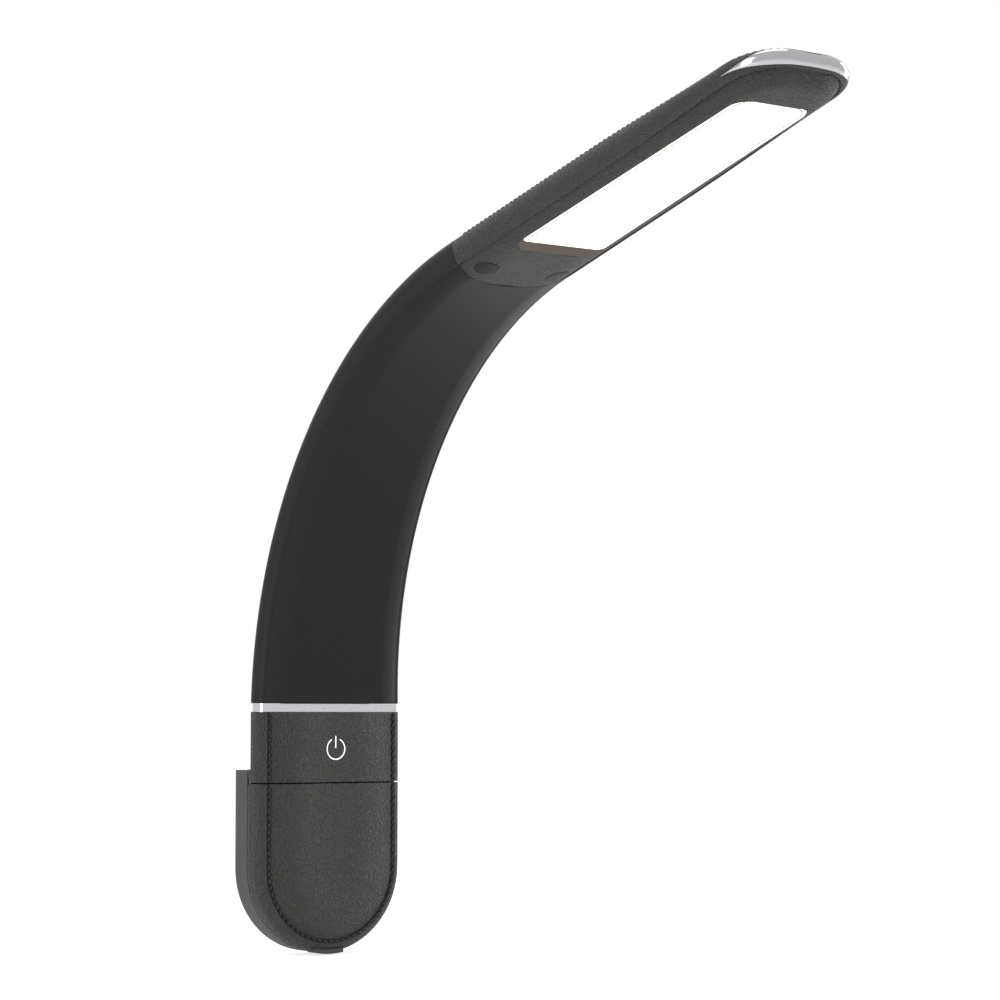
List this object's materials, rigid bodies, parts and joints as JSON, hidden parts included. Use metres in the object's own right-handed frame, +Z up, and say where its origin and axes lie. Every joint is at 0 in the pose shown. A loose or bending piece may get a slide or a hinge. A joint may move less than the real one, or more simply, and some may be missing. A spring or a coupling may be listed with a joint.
{
  "type": "clip-on reading lamp",
  "caption": "Clip-on reading lamp: flat head with a light window on a flexible strip neck, leather-faced base with a touch switch and a sprung jaw.",
  "frame": {"origin": "middle of the closed jaws, where the two rubber pads meet", "axes": "+X across the lamp, to the right of someone who faces its front; the front looks along -Y and the jaw opens along +Y; +Z up"},
  "size_m": [0.06, 0.2747, 0.2738],
  "materials": {
    "leather": "grained, edge stitched",
    "neck_silicone": "satin silicone skin",
    "back_plastic": "fine texture",
    "chrome": "bright plated",
    "cap_plastic": "satin",
    "grip_rubber": "matt ribbed",
    "flap_rubber": "matt",
    "icon_plastic": "translucent light guide",
    "diffuser_plastic": "opal",
    "white_plastic": "matt reflector",
    "link_metal": "die cast",
    "steel": "plated",
    "circuit_board": "coated board",
    "board_chip": "moulded",
    "led_phosphor": "cast resin",
    "battery_foil": "foil pouch",
    "spreader_metal": "mill finish",
    "wire_cover": "insulated wire"
  },
  "bodies": {
    "base": {"rear_housing": "leather", "upper_cover": "leather", "lower_cover": "leather", "neck_ring": "chrome", "power_icon": "icon_plastic", "control_board": "circuit_board", "board_parts": "board_chip", "charge_board": "circuit_board", "charge_socket": "steel", "battery_cell": "battery_foil", "fixed_pad": "grip_rubber", "clamp_spring": "steel", "case_screws": "steel", "neck_foot": "link_metal", "neck_sleeve_1": "neck_silicone", "neck_lead_1": "wire_cover"},
    "jaw": {"jaw_shell": "back_plastic", "jaw_plate": "back_plastic", "jaw_pad": "grip_rubber", "jaw_screws": "steel", "hinge_pin": "steel"},
    "charging_flap": {"port_cover": "flap_rubber"},
    "link_1": {"neck_link_1": "link_metal", "neck_pin_1": "steel", "neck_sleeve_2": "neck_silicone", "neck_lead_2": "wire_cover"},
    "link_2": {"neck_link_2": "link_metal", "neck_pin_2": "steel", "neck_sleeve_3": "neck_silicone", "neck_lead_3": "wire_cover"},
    "link_3": {"neck_link_3": "link_metal", "neck_pin_3": "steel", "neck_sleeve_4": "neck_silicone", "neck_lead_4": "wire_cover"},
    "link_4": {"neck_link_4": "link_metal", "neck_pin_4": "steel", "neck_sleeve_5": "neck_silicone", "neck_lead_5": "wire_cover"},
    "link_5": {"neck_link_5": "link_metal", "neck_pin_5": "steel", "neck_sleeve_6": "neck_silicone", "neck_lead_6": "wire_cover"},
    "head": {"head_anchor": "link_metal", "neck_pin_6": "steel", "neck_sleeve_7": "neck_silicone", "neck_lead_7": "wire_cover", "head_top_shell": "leather", "head_underside": "leather", "tip_trim": "chrome", "diffuser": "diffuser_plastic", "light_box": "white_plastic", "led_board": "circuit_board", "led_chips": "led_phosphor", "heat_spreader": "spreader_metal", "board_screws": "steel", "head_screws": "steel", "screw_caps": "cap_plastic"}
  },
  "joints": [
    {"name": "clamp_hinge", "type": "hinge", "parent": "base", "child": "jaw", "pos_m": [0, 0.0033, 0.034], "axis": [1, 0, 0], "range_deg": [0, 40], "stiffness_Nm_per_rad": 0.3, "springref_deg": -45.84, "deforming": ["clamp_spring"]},
    {"name": "charging_flap_hinge", "type": "hinge", "parent": "base", "child": "charging_flap", "pos_m": [-0.0059, -0.0046, -0.0253], "axis": [0, 1, 0], "range_deg": [0, 85]},
    {"name": "neck_bend_1", "type": "hinge", "parent": "base", "child": "link_1", "pos_m": [0, -0.00409, 0.07732], "axis": [1, 0, 0], "range_deg": [-12.5, 12.5], "deforming": ["neck_sleeve_1", "neck_lead_1", "neck_sleeve_2", "neck_lead_2"]},
    {"name": "neck_bend_2", "type": "hinge", "parent": "link_1", "child": "link_2", "pos_m": [0, -0.01117, 0.10917], "axis": [1, 0, 0], "range_deg": [-12.5, 12.5], "deforming": ["neck_sleeve_3", "neck_lead_3"]},
    {"name": "neck_bend_3", "type": "hinge", "parent": "link_2", "child": "link_3", "pos_m": [0, -0.025, 0.13874], "axis": [1, 0, 0], "range_deg": [-12.5, 12.5], "deforming": ["neck_sleeve_4", "neck_lead_4"]},
    {"name": "neck_bend_4", "type": "hinge", "parent": "link_3", "child": "link_4", "pos_m": [0, -0.04491, 0.16459], "axis": [1, 0, 0], "range_deg": [-12.5, 12.5], "deforming": ["neck_sleeve_5", "neck_lead_5"]},
    {"name": "neck_bend_5", "type": "hinge", "parent": "link_4", "child": "link_5", "pos_m": [0, -0.06996, 0.18552], "axis": [1, 0, 0], "range_deg": [-12.5, 12.5], "deforming": ["neck_sleeve_6", "neck_lead_6"]},
    {"name": "neck_bend_6", "type": "hinge", "parent": "link_5", "child": "head", "pos_m": [0, -0.09895, 0.2005], "axis": [1, 0, 0], "range_deg": [-12.5, 12.5], "deforming": ["neck_sleeve_7", "neck_lead_7"]}
  ]
}
